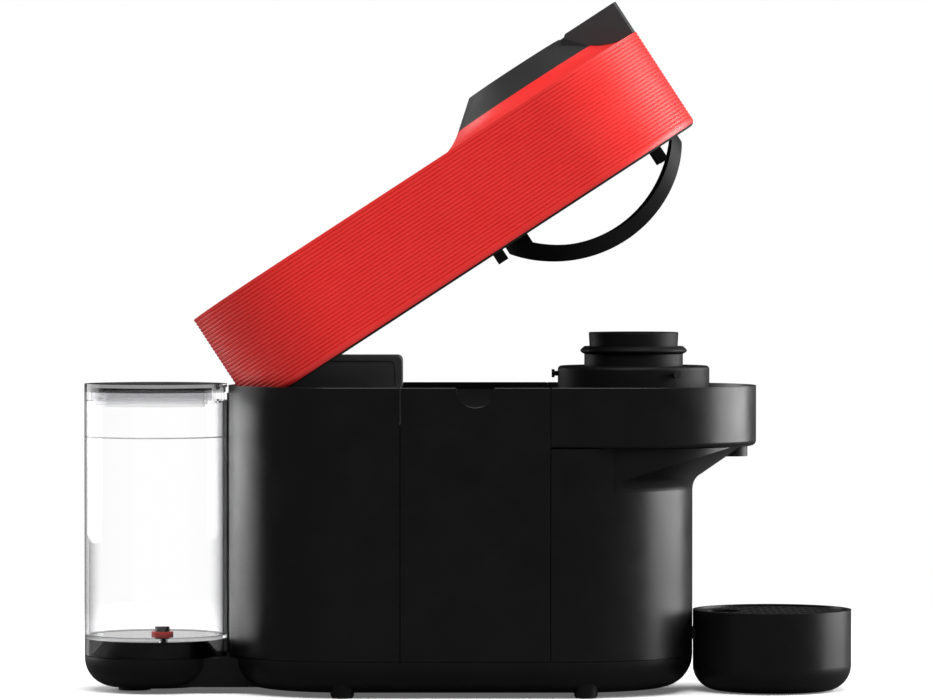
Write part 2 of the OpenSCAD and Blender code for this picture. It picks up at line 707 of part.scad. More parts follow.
module control_board() color("#2f6b46") {
  block([board_x, board_y0, board_z0], [board_x + 1.6, board_y1, board_z1]);
  for (y = [board_y0 + 4, board_y1 - 4], z = [board_z0 + 4, board_z1 - 4]) translate([board_x + 1.6, y, z]) rotate([0, 90, 0])
    cylinder(r = 2, h = bay_x0 - bulk_t - fit - board_x - 1.6, $fn = 24);
  block([board_x - 12, board_y0 + 1, board_z0 + 8], [board_x, board_y0 + 16, board_z0 + 24]);
  block([board_x - 3, board_y1 - 18, board_z0 + 12], [board_x, board_y1 - 6, board_z0 + 34]);
}

module inlet_hose() color("#c9ccd0") hose([[valve_x, 0, floor_z - 6], [valve_x, 0, hose_z],
  [hose_up_x, 0, hose_z], [hose_up_x, 0, seam_z + 10], [meter_x - 11, 0, seam_z + 10]], 4.5, hose_r);

module suction_hose() color("#c9ccd0") hose([[meter_x, 0, seam_z + 18], [meter_x, 0, pump_z],
  [meter_x, pump_y, pump_z], [pump_x0 - 2, pump_y, pump_z]], 4, hose_r);

module pressure_hose() color("#c9ccd0") hose([[port_x, pump_y, pump_z + 17],
  [port_x, pump_y, heater_z1 + 14], [port_x, heater_y, heater_z1 + 14],
  [port_x, heater_y, heater_z1 + 1]], 4, hose_r);

module hot_hose() color("#c9ccd0") hose([[heater_x - 10, heater_y, heater_z1 + 1],
  [heater_x - 10, heater_y, heater_z1 + 30], [heater_x - 10, 0, heater_z1 + 30],
  [heater_x - 10, 0, body_top + tower_h - 3.3]], 4, hose_r);

module dock_spigot() color("#d0d0cc") difference() {
  union() {
    ring(valve_x, 0, valve_r + 2.9, floor_z - 6, floor_z - 3);
    ring(valve_x, 0, 3, floor_z - 4, floor_z - fit);
  }
  ring(valve_x, 0, 1.6, floor_z - 7, floor_z + 1);
}

module dock_seal() color("#b02a22") ring(valve_x, 0, valve_r + 1.6, floor_z - 3, floor_z - 1.2, 3.05);

module cord_gland() color("#101010") translate([gland_x, gland_y, gland_z]) rotate([0, 90, gland_turn])
  difference() {
    union() {
      translate([0, 0, -wall]) cylinder(r = gland_r - 0.05, h = 2 * wall);
      translate([0, 0, wall / 2 + 0.15]) cylinder(r = gland_r + 2, h = 1.6);
      translate([0, 0, -wall / 2 - 2.2]) cylinder(r = gland_r + 2, h = 1.7);
    }
    translate([0, 0, -10]) cylinder(r = 3.3, h = 20);
  }

// ---- Head ----

function rib_points(count) = [for (i = [0 : count - 1]) let (w = head_round + i * rib_pitch)
  each [[half_w, w], [half_w, w + 0.55 * rib_pitch], [half_w - rib_depth, w + 0.78 * rib_pitch]]];

module shell_profile() {
  count = floor((head_h - head_round - 1) / rib_pitch);
  polygon(concat([[inner_r, head_round], [half_w, head_round]], rib_points(count),
    [[half_w, head_round + count * rib_pitch], [half_w, head_h], [inner_r, head_h]]));
  intersection() {
    rounded_foot(half_w, 0, head_round + overlap, head_round);
    band(inner_r, half_w + 1, head_rim, head_round + overlap);
  }
}

// The hollow side of the skirt between the head's top and the platform
module skirt_hollow_profile(lift) {
  half = norm([skirt_r - dome_r, platform_h]) / 2;
  reach = sqrt(skirt_hollow * skirt_hollow - half * half);
  mid = [(skirt_r + dome_r) / 2, head_h + platform_h / 2 + lift] + reach / (2 * half) * [platform_h, skirt_r - dome_r];
  intersection() {
    translate(mid) circle(skirt_hollow);
    band(0, skirt_r + 1, head_h - 1, head_h + 2 * platform_h);
  }
}

module skirt_profile() difference() {
  band(dome_r - 4, skirt_r + 0.5, head_h - 1, dome_w);
  skirt_hollow_profile(0);
}

module head_shell() color("#d7261f") in_head() difference() {
  union() {
    sweep(half_w, drum_u) shell_profile();
    sweep(half_w, drum_u) band(0, inner_r + overlap, head_h - wall, head_h);
    translate([drum_u, 0, 0]) rotate_extrude() skirt_profile();
  }
  translate([drum_u, 0, head_h - 10]) cylinder(r = dome_r - 2.6, h = 30);
}

module head_frame() color("#1d1d1f") in_head() difference() {
  union() {
    sweep(half_w, drum_u) union() {
      intersection() {
        rounded_foot(half_w, 0, head_round + 1, head_round);
        band(0, half_w + 1, 0, head_rim - 0.02);
      }
      band(0, inner_r - fit, head_rim - 0.1, plate_w);
    }
    for (side = [0, 1]) mirror([0, side, 0]) {
      block([pivot_back - 4, arm_y, plate_w - overlap], [slot_u1 + 6, arm_y + arm_t, pivot_up + 4]);
      cross_pin(pivot_back, pivot_up, ear_r, arm_y, arm_y + arm_t);
    }
    for (u = [rear_len - 44, drum_u - 107, drum_u - 35], side = [-1, 1]) ring(u, side * (inner_r - 9), 4, plate_w - overlap, head_h - wall - fit);
  }
  intersection() {
    union() {
      block([slot_u0, -arm_y, -1], [slot_u1, arm_y, plate_w + 1]);
      block([slot_u0, -arm_y - arm_t - 4, -1], [pivot_back - 4, arm_y + arm_t + 4, plate_w + 1]);
    }
    sweep(half_w, drum_u) band(0, inner_r - 2.5, -1, plate_w + 1);
  }
  cross_pin(pivot_back, pivot_up, pin_r + pin_play, -half_w, half_w);
  ring(drum_u, 0, recess_r, -1, plate_w + 1);
}

plug_r = dome_r - 2.6 - fit;

module dome_profile() difference() {
  polygon([[0, dome_w], [dome_r, dome_w], [dome_top_r, dome_top], [0, dome_top]]);
  polygon([[0, dome_w - 1], [dome_r - 3.4, dome_w - 1], [dome_r - 3.4, dome_w],
    [dome_top_r - 1, dome_top - dome_wall], [0, dome_top - dome_wall]]);
}

module dome_cover() color("#1c1c1e") in_head() difference() {
  union() {
    difference() {
      translate([drum_u, 0, 0]) rotate_extrude() dome_profile();
      // the pocket in which the lever's rear edge swings
      cross_pin(lever_u, lever_z, lever_swing, -lever_w / 2 - slide, lever_w / 2 + slide);
      block([lever_u, -lever_w / 2 - slide, dome_w - 1], [head_len, lever_w / 2 + slide, dome_top + 1]);
    }
    // the well that the button sits in
    translate([drum_u, 0, 0]) rotate_extrude() union() {
      band(button_r + fit, bowl_r + 1.2, bowl_w, dome_top);
      band(3.4, bowl_r + 1.2, bowl_w - 2, bowl_w + overlap);
    }
    // the pocket's wall and the lever's ears
    intersection() {
      difference() {
        cross_pin(lever_u, lever_z, lever_swing + 1.6, -lever_w / 2 - slide, lever_w / 2 + slide);
        cross_pin(lever_u, lever_z, lever_swing, -lever_w / 2 - 1, lever_w / 2 + 1);
      }
      translate([drum_u, 0, 0]) rotate_extrude() polygon([[0, dome_w - 6], [plug_r, dome_w - 6],
        [plug_r, dome_w + (dome_r - plug_r) * dome_h / (dome_r - dome_top_r)], [dome_top_r, dome_top], [0, dome_top]]);
    }
    for (side = [0, 1]) mirror([0, side, 0]) intersection() {
      cross_pin(lever_u, lever_z, lever_swing + 1.6, lever_w / 2 + slide, lever_w / 2 + slide + 1.5);
      translate([drum_u, 0, 0]) rotate_extrude()
        polygon([[0, dome_w], [dome_r, dome_w], [dome_top_r + 7, dome_top - 0.8], [0, dome_top - 0.8]]);
    }
    for (side = [0, 1]) mirror([0, side, 0]) {
      cross_pin(lever_u, lever_z, 2.6, lever_ear_y, lever_ear_y + lever_ear_t);
      block([lever_u - 2.6, lever_ear_y, lever_z - lever_swing - 0.5], [lever_u + 0.8, lever_ear_y + lever_ear_t, lever_z]);
    }
  }
  translate([drum_u, 0, dome_top - 5]) cylinder(r = button_r + fit, h = 10);
  translate([drum_u, 0, bowl_w - 5]) cylinder(r = 3.4, h = 20);
  cross_pin(lever_u, lever_z, lever_pin_r + pin_play, -half_w, half_w);
}

// The arched band seen from the side, with a solid root at its back
module arch_shape() {
  root_u = drum_u - loop_extra / 2 - loop_r + root_len;
  intersection() {
    translate([drum_u - arch_shift / 2, arch_r - arch_drop]) circle(arch_r);
    difference() {
      translate([0, -arch_drop - 1]) square([head_len + 10, arch_drop + 1]);
      intersection() {
        translate([drum_u + arch_shift / 2, arch_r - arch_drop]) circle(arch_r - arch_band);
        translate([root_u, -arch_drop - 2]) square([head_len, arch_drop + 3]);
      }
    }
  }
}

module ejector_loop() color("#161618") in_head() intersection() {
  sweep(drum_u - loop_extra / 2 - 1, drum_u + loop_extra / 2 - 1) band(loop_r - loop_t, loop_r, -arch_drop - 5, 0);
  translate([0, half_w, 0]) rotate([90, 0, 0]) linear_extrude(2 * half_w) arch_shape();
}

module lock_hooks() color("#161618") in_head() for (side = [-1, 1]) {
  block([drum_u + 38.5, side * hook_y - 2.5, -hook_drop], [drum_u + 43.5, side * hook_y + 2.5, 0]);
  block([drum_u - 66, side * hook_y - 2.5, -hook_drop + 2], [drum_u - 60, side * hook_y + 2.5, 0]);
}

module clamp_housing() color("#303134") in_head() translate([drum_u, 0, 0]) difference() {
  rotate_extrude() union() {
    band(recess_r, recess_r + 2.5, plate_w, step_w - seat_gap);
    band(step_r, recess_r + 2.5, step_w, step_w + 2.5);
    band(step_r, step_r + 2.5, step_w + 2.5 + seat_gap, roof_w - seat_gap);
    band(0, step_r + 2.5, roof_w, roof_w + 2.5);
    band(0, 14, roof_w + 2.4, roof_w + 2.5 + bearing_h);
  }
  translate([0, 0, roof_w + 2.5]) cylinder(r = bear_ro + 0.05, h = bearing_h + 1);
  translate([0, 0, roof_w - 1]) cylinder(r = spindle_r + 1, h = 30);
}

bear_ro = 11;

module clamp_bearing() color("#a8abb0") in_head()
  ring(drum_u, 0, bear_ro, roof_w + 2.5, roof_w + 2.5 + bearing_h, spindle_r + 0.05);

module brew_clamp() color("#242427") in_head() translate([drum_u, 0, 0]) difference() {
  rotate_extrude() union() {
    band(0, clamp_r, clamp_w + 3, clamp_w + 9);
    band(0, spindle_r, clamp_w + 8.9, spindle_w);
  }
  translate([0, 0, clamp_w]) cylinder(r = 2.05, h = 60);
}

module clamp_seal() color("#8c2f2a") in_head() ring(drum_u, 0, cup_r + 2, clamp_w, clamp_w + 3, cup_r - 4);

module water_needle() color("#c4c7cb") in_head() translate([drum_u, 0, 0]) difference() {
  union() {
    translate([0, 0, clamp_w - 2]) cylinder(r = 2, h = 24);
    translate([0, 0, clamp_w - 8]) cylinder(r1 = 0.8, r2 = 2, h = 6);
  }
  translate([0, 0, clamp_w - 9]) cylinder(r = 0.6, h = 40);
}

module head_water_tube() color("#c9ccd0") in_head() hose([[slot_u1 + 12, 0, plate_w],
  [slot_u1 + 12, 0, roof_w + 8], [drum_u - 30, 0, roof_w + 8], [drum_u - 30, 0, spindle_w + 5.5],
  [drum_u, 0, spindle_w + 5.5], [drum_u, 0, spindle_w + fit]], 3.5, hose_r);

module button_board() color("#2f6b46") in_head() translate([drum_u, 0, 0]) {
  difference() {
    translate([0, 0, board_w]) cylinder(r = 20, h = 1.6);
    translate([0, 0, board_w - 1]) cylinder(r = 2, h = 1);
  }
  for (a = [0 : 120 : 240]) translate([12.5 * cos(a), 12.5 * sin(a), spindle_w])
    cylinder(r = 1.2, h = board_w - spindle_w, $fn = 24);
  translate([-3, -3, board_w + 1.6]) cube([6, 6, 1.6]);
}

module brew_button() color("#26262a") in_head() translate([drum_u, 0, 0]) rotate_extrude() union() {
  difference() {
    band(0, button_r, bowl_w + button_travel + 0.5, dome_top);
    translate([button_r - 0.5, dome_top - 0.5]) polygon([[0, 0.51], [0.51, 0], [0.51, 0.51]]);
  }
  band(0, 3, board_w + 3.2 + button_travel + 0.3, bowl_w + button_travel + 0.6);
}

// What lies under the lever: the dome, the platform's skirt and the head's top
module lever_relief() translate([drum_u, 0, 0]) rotate_extrude() {
  difference() {
    polygon([[0, head_h - 3], [skirt_r, head_h - 3], [skirt_r, dome_w + fit], [dome_r - 0.5, dome_w + fit],
      [dome_top_r + 0.6, dome_top + 0.2], [0, dome_top + 0.2]]);
    skirt_hollow_profile(fit);
  }
  band(0, half_w + 5, head_h - 4, head_h + fit - 0.1);
}

module front_lever() color("#1a1a1c") in_head() difference() {
  intersection() {
    translate([0, lever_w / 2, 0]) rotate([90, 0, 0]) linear_extrude(lever_w)
      polygon([[drum_u + lever_tip, lever_top - 1], [drum_u + lever_tip + 1.2, lever_top],
        [head_len, lever_top], [head_len, head_h - 1], [drum_u + dome_r, head_h - 1],
        [drum_u + lever_tip - 0.4, dome_top - 2.2]]);
    translate([drum_u, 0, head_h - 2]) cylinder(r = half_w - 0.4, h = 40);
  }
  lever_relief();
  intersection() {
    block([lever_u - 4, -lever_w / 2 + lever_wall, head_h - 4],
      [head_len, lever_w / 2 - lever_wall, lever_top - lever_wall]);
    translate([drum_u, 0, head_h - 5]) cylinder(r = half_w - 0.4 - lever_wall, h = 40);
  }
  cross_pin(lever_u, lever_z, lever_pin_r + 0.02, -lever_w / 2 + lever_wall - 1.2, lever_w / 2 - lever_wall + 1.2);
}

module lever_pin() color("#b9bcc0") in_head()
  cross_pin(lever_u, lever_z, lever_pin_r, -lever_w / 2 + lever_wall - 1.1, lever_w / 2 - lever_wall + 1.1);

// ---- Water tank ----

module tank_vessel() color("#dfe6ea", 0.4) difference() {
  union() {
    translate([tank_x, 0, 0]) rotate_extrude() union() {
      band(tank_r - tank_wall, tank_r, tank_foot, tank_top);
      band(0, tank_r - tank_wall + overlap, floor_z, floor_z + tank_floor);
    }
    for (side = [0, 1]) mirror([0, side, 0]) {
      block([lid_pin_x - ear_w, lid_ear_y, tank_top - 1], [lid_pin_x + ear_w, lid_ear_y + 3, lid_pin_z]);
      cross_pin(lid_pin_x, lid_pin_z, ear_w, lid_ear_y, lid_ear_y + 3);
    }
  }
  ring(valve_x, 0, 2, floor_z - 1, floor_z + 4);
  cross_pin(lid_pin_x, lid_pin_z, lid_pin_r, -20, 20);
}

// The lid turns on a pin near its upper edge, on the side of the body
lid_pin_r = 1.2;
ear_w = 2;
lid_pin_x = tank_x + tank_r - 4.4;
lid_top = tank_top + lid_h;
lid_pin_z = lid_top - ear_w;
lid_ear_y = 14;

module tank_lid() color("#b9bec2", 0.55) difference() {
  union() {
    difference() {
      translate([tank_x, 0, 0]) rotate_extrude() union() {
        band(0, tank_r, lid_top - 2, lid_top);
        band(tank_r - 2, tank_r, tank_top + fit, lid_top - 1.9);
        band(tank_r - tank_wall - 2.8, tank_r - tank_wall - 1, tank_top - 3, lid_top - 1.9);
      }
      // the rim gives way to the hinge and to the body
      block([lid_pin_x - 8, -lid_ear_y - 9, tank_top - 5], [tank_x + tank_r + 1, lid_ear_y + 9, lid_top - 2]);
    }
    block([lid_pin_x - 3, -lid_ear_y + 0.6, lid_top - 4.8], [lid_pin_x + 3, lid_ear_y - 0.6, lid_top - 1.9]);
  }
  for (side = [0, 1]) mirror([0, side, 0])
    block([lid_pin_x - 4, lid_ear_y - fit, tank_top - 5], [tank_x + tank_r + 1, lid_ear_y + 3 + fit, lid_top + 1]);
  cross_pin(lid_pin_x, lid_pin_z, lid_pin_r + pin_play, -20, 20);
}

module lid_pin() color("#9fa4a8")
  cross_pin(lid_pin_x, lid_pin_z, lid_pin_r, -lid_ear_y - 3, lid_ear_y + 3);

module valve_poppet() color("#141414") {
  ring(valve_x, 0, valve_r, floor_z + tank_floor + 1.6, floor_z + tank_floor + 4.4);
  ring(valve_x, 0, 1.3, floor_z + 0.2, floor_z + tank_floor + 1.7);
}

module valve_seal() color("#c2231c")
  ring(valve_x, 0, valve_r + 2, floor_z + tank_floor + 0.1, floor_z + tank_floor + 1.6, 1.3);

// ---- Used capsule container ----

module capsule_bin() color("#1b1b1d") difference() {
  union() {
    block([rear_x1 + seam_gap, -half_w, seam_z + fit], [front_x0 - seam_gap, -inner_r, body_top]);
    difference() {
      block([bay_x0 + slide, -inner_r - overlap, seam_z + fit], [bay_x1 - slide, bin_back, seam_z + bin_h]);
      block([bay_x0 + slide + bin_wall, -inner_r, seam_z + fit + bin_wall],
        [bay_x1 - slide - bin_wall, bin_back - bin_wall, body_top]);
    }
  }
  translate([bay_mid, 0, body_top - notch_d + notch_r]) rotate([90, 0, 0]) cylinder(r = notch_r, h = half_w + 1);
  block([bay_mid - notch_r, -half_w - 1, body_top - notch_d + notch_r], [bay_mid + notch_r, -inner_r + 1, body_top + 1]);
  translate([rear_x1, -inner_r, body_top]) rotate([0, 90, 0]) linear_extrude(bay_len + 1)
    polygon([[-1, 1], [0, 1], [rim_bevel, 0], [0, rim_t - wall], [-1, rim_t - wall]]);
}

// ---- Cup stand ----

hook_tab_y = 6;
module tray_tab(y, grow, out) block([rear_x + foot_len - 5 - grow, y - 3 - grow, tray_h - 16 - grow],
  [rear_x + foot_len + out, y + 3 + grow, tray_h - 10 + grow]);

module drip_tray() color("#1c1c1e") difference() {
  union() {
    translate([tray_x, 0, 0]) rotate_extrude() rounded_foot(tray_d / 2, 0, tray_h, tray_round);
    for (y = [-hook_tab_y, hook_tab_y]) tray_tab(y, 0, 3);
  }
  translate([tray_x, 0, 0]) rotate_extrude() union() {
    band(0, tray_d / 2 - tray_wall, tray_h - grid_drop - grid_t - fit, tray_h + 1);
    rounded_foot(tray_d / 2 - tray_wall - 2, tray_wall, tray_h - grid_drop, tray_round - 1);
  }
}

module drip_grid() color("#202022") difference() {
  ring(tray_x, 0, tray_d / 2 - tray_wall - fit, tray_h - grid_drop - grid_t, tray_h - grid_drop);
  ring(tray_x - 27, 0, finger_r, tray_h - 10, tray_h + 1);
  for (i = [-6 : 6], j = [-6 : 6]) {
    x = grid_pitch * (i + j / 2);
    y = grid_pitch * j * sin(60);
    if (norm([x, y]) < tray_d / 2 - tray_wall - 6 && norm([x + 27, y]) > finger_r + 4)
      ring(tray_x + x, y, grid_hole_r, tray_h - 10, tray_h + 1);
  }
}

base_pan();
rubber_feet();
base_screws();
chassis();
rear_housing();
front_housing();
side_panel();
hinge_tower();
hinge_pin();
hinge_spring();
brew_deck();
drum_housing();
drum_bearing();
coffee_duct();
spout();
motor_shelf();
drum_motor();
motor_screws();
water_pump();
pump_mounts();
flow_meter();
thermoblock();
heater_legs();
control_board();
inlet_hose();
suction_hose();
pressure_hose();
hot_hose();
dock_spigot();
dock_seal();
cord_gland();
head_shell();
head_frame();
dome_cover();
ejector_loop();
lock_hooks();
clamp_housing();
clamp_bearing();
head_water_tube();
button_board();
front_lever();
lever_pin();
brew_button();
brew_clamp();
clamp_seal();
water_needle();
lock_ring();
lock_pegs();
capsule_holder();
drum_shaft();
tank_vessel();
tank_lid();
lid_pin();
valve_poppet();
valve_seal();
capsule_bin();
drip_tray();
drip_grid();
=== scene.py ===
# Looks of the pod coffee machine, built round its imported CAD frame.
# Lengths are in metres: +Z up, +X towards the spout, the ground at 0, the photographed side at -Y.
import math

import bpy
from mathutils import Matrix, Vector


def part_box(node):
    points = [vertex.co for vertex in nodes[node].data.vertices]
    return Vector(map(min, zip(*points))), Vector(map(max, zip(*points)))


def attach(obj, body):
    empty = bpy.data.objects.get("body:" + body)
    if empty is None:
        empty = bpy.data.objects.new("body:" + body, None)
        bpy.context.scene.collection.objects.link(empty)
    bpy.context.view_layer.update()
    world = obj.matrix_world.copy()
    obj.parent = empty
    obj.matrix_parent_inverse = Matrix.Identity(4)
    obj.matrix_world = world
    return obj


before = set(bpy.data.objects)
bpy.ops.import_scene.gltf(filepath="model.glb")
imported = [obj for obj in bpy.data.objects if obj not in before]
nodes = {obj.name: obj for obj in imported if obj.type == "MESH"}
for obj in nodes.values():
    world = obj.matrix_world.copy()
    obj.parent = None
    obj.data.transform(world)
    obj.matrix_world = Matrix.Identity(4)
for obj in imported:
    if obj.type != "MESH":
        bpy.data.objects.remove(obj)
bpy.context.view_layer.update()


scene = bpy.context.scene
scene.view_settings.view_transform = "Standard"

# ---- Camera: a long lens level with the machine's upper half ----

DISTANCE = 2.961  # from the lens to the machine's middle plane
EYE = 0.2405  # height of the lens
AIM = 0.1888  # height of the point that it looks at, in the middle plane
ASIDE = -0.0008  # place of the lens along the machine
PHOTO_WIDTH = 933  # of the photograph, in pixels
PIXEL = 0.0005554  # width that one pixel covers in the middle plane
SENSOR = 36  # width of the sensor, in millimetres

cam_data = bpy.data.cameras.new("camera")
cam_data.sensor_width = SENSOR
cam_data.lens = SENSOR * DISTANCE / (PHOTO_WIDTH * PIXEL)
cam_data.clip_end = 60
camera = bpy.data.objects.new("camera", cam_data)
camera.location = (ASIDE, -DISTANCE, EYE)
camera.rotation_euler = (math.pi / 2 - math.atan((EYE - AIM) / DISTANCE), 0, 0)
scene.collection.objects.link(camera)
scene.camera = camera


# ---- Building blocks of the materials ----

# sockets of a Mix node that mixes colours
COLOUR_A = 6
COLOUR_B = 7
COLOUR_OUT = 2


def new_material(name):
    """A new material with its node tree and its main shader."""
    material = bpy.data.materials.new(name)
    material.use_nodes = True
    tree = material.node_tree
    return material, tree, tree.nodes["Principled BSDF"]


def add(tree, kind, **values):
    """A node of the given kind, with its settings and the values of its sockets."""
    node = tree.nodes.new(kind)
    for key, value in values.items():
        if hasattr(node, key):
            setattr(node, key, value)
        else:
            node.inputs[key.replace("_", " ")].default_value = value
    return node


def own_place(tree):
    """The place of the shaded point in the object's own frame."""
    return add(tree, "ShaderNodeTexCoord").outputs["Object"]


def stretched_place(tree, stretch=(1, 1, 1)):
    """The same place, scaled along each axis: a larger scale squeezes what is drawn there."""
    mapping = add(tree, "ShaderNodeMapping", Scale=stretch)
    tree.links.new(own_place(tree), mapping.inputs["Vector"])
    return mapping.outputs["Vector"]


def noise(tree, scale, detail=3.0, rough=0.55, stretch=(1, 1, 1)):
    """Noise that is finer for a larger scale."""
    texture = add(tree, "ShaderNodeTexNoise", Scale=scale, Detail=detail, Roughness=rough)
    tree.links.new(stretched_place(tree, stretch), texture.inputs["Vector"])
    return texture.outputs["Fac"]


def ranged(tree, source, low, high, start=0.3, end=0.7):
    """The source between start and end, spread out from low to high."""
    spread = add(tree, "ShaderNodeMapRange", clamp=True,
                 From_Min=start, From_Max=end, To_Min=low, To_Max=high)
    tree.links.new(source, spread.inputs["Value"])
    return spread.outputs["Result"]


def mixed(tree, factor, one, two):
    """Colour one where the factor is 0, and two where it is 1."""
    mix = add(tree, "ShaderNodeMix", data_type="RGBA")
    tree.links.new(factor, mix.inputs["Factor"])
    mix.inputs[COLOUR_A].default_value = (*one, 1)
    mix.inputs[COLOUR_B].default_value = (*two, 1)
    return mix.outputs[COLOUR_OUT]


def cloudy(tree, one, two, scale):
    """Two colours that drift into one another."""
    return mixed(tree, ranged(tree, noise(tree, scale), 0, 1), one, two)


def bumped(tree, shader, height, strength, distance):
    """Gives the shader a relief."""
    relief = add(tree, "ShaderNodeBump", Strength=strength, Distance=distance)
    tree.links.new(height, relief.inputs["Height"])
    tree.links.new(relief.outputs["Normal"], shader.inputs["Normal"])


# ---- Materials ----

def grey(level):
    """An even grey."""
    return (level, level, level)


def plastic(name, colour, other, rough, grain=1500, bump=0.12, level=0.2):
    """Moulded plastic: cloudy colour, a fine spark-eroded grain and uneven gloss.

    The grain is the scale of its noise, the bump its strength and the level that of the gloss.
    """
    material, tree, shader = new_material(name)
    shinier = 0.035
    duller = 0.045
    smears = noise(tree, scale=60, detail=4)
    tree.links.new(cloudy(tree, colour, other, scale=22), shader.inputs["Base Color"])
    tree.links.new(ranged(tree, smears, rough - shinier, rough + duller), shader.inputs["Roughness"])
    bumped(tree, shader, noise(tree, grain, detail=2), bump, distance=0.00004)
    shader.inputs["Specular IOR Level"].default_value = level
    return material


def metal(name, colour, rough, stretch=(1, 1, 1), lines=900):
    """Bare metal with fine marks, which run across the stretched axis where it is brushed."""
    material, tree, shader = new_material(name)
    darker = 0.86
    shinier = 0.06
    duller = 0.08
    fine = noise(tree, lines, detail=2, rough=0.6, stretch=stretch)
    worn = [channel * darker for channel in colour]
    tree.links.new(cloudy(tree, colour, worn, scale=90), shader.inputs["Base Color"])
    tree.links.new(ranged(tree, fine, rough - shinier, rough + duller), shader.inputs["Roughness"])
    bumped(tree, shader, fine, strength=0.12, distance=0.00003)
    shader.inputs["Metallic"].default_value = 1
    return material


def height_tint(tree, stops):
    """A grey that changes in steps with the height, given as pairs of height and level."""
    span = 0.2  # the height that the ramp covers
    bluer = 1.01
    split = add(tree, "ShaderNodeSeparateXYZ")
    tree.links.new(own_place(tree), split.inputs[0])
    tint = add(tree, "ShaderNodeValToRGB")
    tint.color_ramp.interpolation = "CONSTANT"
    tree.links.new(ranged(tree, split.outputs["Z"], 0, 1, start=0, end=span), tint.inputs["Fac"])
    ramp = tint.color_ramp.elements  # it starts with two stops
    for place, (height, level) in enumerate(stops):
        stop = ramp[place] if place < 2 else ramp.new(height / span)
        stop.position = height / span
        stop.color = (level, level, level * bluer, 1)
    return tint.outputs["Color"]


def see_through(name, stops, painted_edge_grey, rough):
    """Clear moulded plastic, tinted by height, with painted shade: its colour greys where the eye skims
    along its wall.
    """
    material, tree, shader = new_material(name)
    hazier = 0.02
    # painted shade: the colour darkens towards the edge grey where the wall is seen edge-on
    skim = add(tree, "ShaderNodeLayerWeight", Blend=0.5)
    painted_edge_shade = mixed(tree, ranged(tree, skim.outputs["Facing"], 0, 1, start=0.4, end=0.85), grey(1), painted_edge_grey)
    product = add(tree, "ShaderNodeMix", data_type="RGBA", blend_type="MULTIPLY")
    product.inputs["Factor"].default_value = 1
    tree.links.new(height_tint(tree, stops), product.inputs[COLOUR_A])
    tree.links.new(painted_edge_shade, product.inputs[COLOUR_B])
    tree.links.new(product.outputs[COLOUR_OUT], shader.inputs["Base Color"])
    haze = ranged(tree, noise(tree, scale=160), rough, rough + hazier)
    tree.links.new(haze, shader.inputs["Roughness"])
    bumped(tree, shader, noise(tree, scale=35, detail=2), strength=0.04, distance=0.0002)
    shader.inputs["Transmission Weight"].default_value = 1
    shader.inputs["IOR"].default_value = 1.2
    return material


def hose_rubber():
    """Milky silicone rubber."""
    material, tree, shader = new_material("silicone_hose")
    milky = cloudy(tree, (0.6, 0.62, 0.63), (0.5, 0.52, 0.53), scale=120)
    tree.links.new(milky, shader.inputs["Base Color"])
    shader.inputs["Roughness"].default_value = 0.35
    shader.inputs["Subsurface Weight"].default_value = 0.3
    bumped(tree, shader, noise(tree, scale=700), strength=0.1, distance=0.00005)
    return material


def circuit_board():
    """Green board with a fine grid of paler tracks."""
    material, tree, shader = new_material("circuit_board")
    brick = add(tree, "ShaderNodeTexBrick", Scale=160.0, Color1=(0.02, 0.14, 0.06, 1),
                Color2=(0.025, 0.17, 0.075, 1), Mortar=(0.05, 0.28, 0.12, 1))
    tree.links.new(stretched_place(tree), brick.inputs["Vector"])
    tree.links.new(brick.outputs["Color"], shader.inputs["Base Color"])
    shader.inputs["Roughness"].default_value = 0.4
    return material


black = plastic("body_black", (0.0030, 0.0030, 0.0031), (0.0042, 0.0042, 0.0043), rough=0.34, level=0.35)
inner = plastic("inner_black", grey(0.005), grey(0.008), rough=0.5, grain=1100, bump=0.2, level=0.4)
gloss = plastic("gloss_black", grey(0.004), grey(0.006), rough=0.26, grain=2200, bump=0.05, level=0.5)
matte = plastic("matte_black", grey(0.015), grey(0.021), rough=0.55, grain=1300, bump=0.15, level=0.15)
dull = plastic("dull_black", grey(0.0035), grey(0.005), rough=0.5, grain=1300, bump=0.15, level=0.13)
# painted light: the tower's black is made lighter to make up for the shade that the head casts on it
tower = plastic("tower_black_painted_lighter", (0.072, 0.072, 0.073), (0.085, 0.085, 0.086), rough=0.42,
                grain=1400, level=0.4)
charcoal = plastic("charcoal", (0.026, 0.026, 0.027), (0.034, 0.034, 0.035), rough=0.42,
                   grain=1400, level=0.4)
red = plastic("red_ribbed", (0.68, 0.019, 0.016), (0.64, 0.016, 0.014), rough=0.42,
              grain=1700, bump=0.1, level=0.4)
rubber = plastic("rubber", (0.02, 0.02, 0.021), grey(0.03), rough=0.75, grain=900, bump=0.3, level=0.25)
seal = plastic("red_seal", (0.42, 0.02, 0.015), (0.35, 0.015, 0.012), rough=0.45,
               grain=900, bump=0.15, level=0.4)
white = plastic("white_plastic", (0.72, 0.72, 0.69), (0.66, 0.66, 0.63), rough=0.45)
mark_grey = plastic("level_line", grey(0.42), grey(0.36), rough=0.4)
steel = metal("steel", (0.62, 0.62, 0.63), rough=0.3, stretch=(1, 8, 1))
alu = metal("aluminium", (0.68, 0.69, 0.7), rough=0.45, lines=500)
zinc = metal("plated_can", (0.5, 0.5, 0.52), rough=0.36, stretch=(1, 1, 12))
hose = hose_rubber()
board = circuit_board()

# where each tint starts, from below: the tank's foot, its floor and its wall
TANK_STEPS = ((0, 0.25), (0.0286, 0.36), (0.0311, 1.0))
# the lid's skirt, its dark edge and its top face
LID_STEPS = ((0, 0.78), (0.1655, 0.32), (0.1699, 0.85))
# the edge greys are painted shade along the rims of the clear tank and lid
clear = see_through("clear_tank", TANK_STEPS, painted_edge_grey=(0.16, 0.16, 0.165), rough=0.005)
smoked = see_through("smoked_lid", LID_STEPS, painted_edge_grey=(0.2, 0.2, 0.205), rough=0.05)

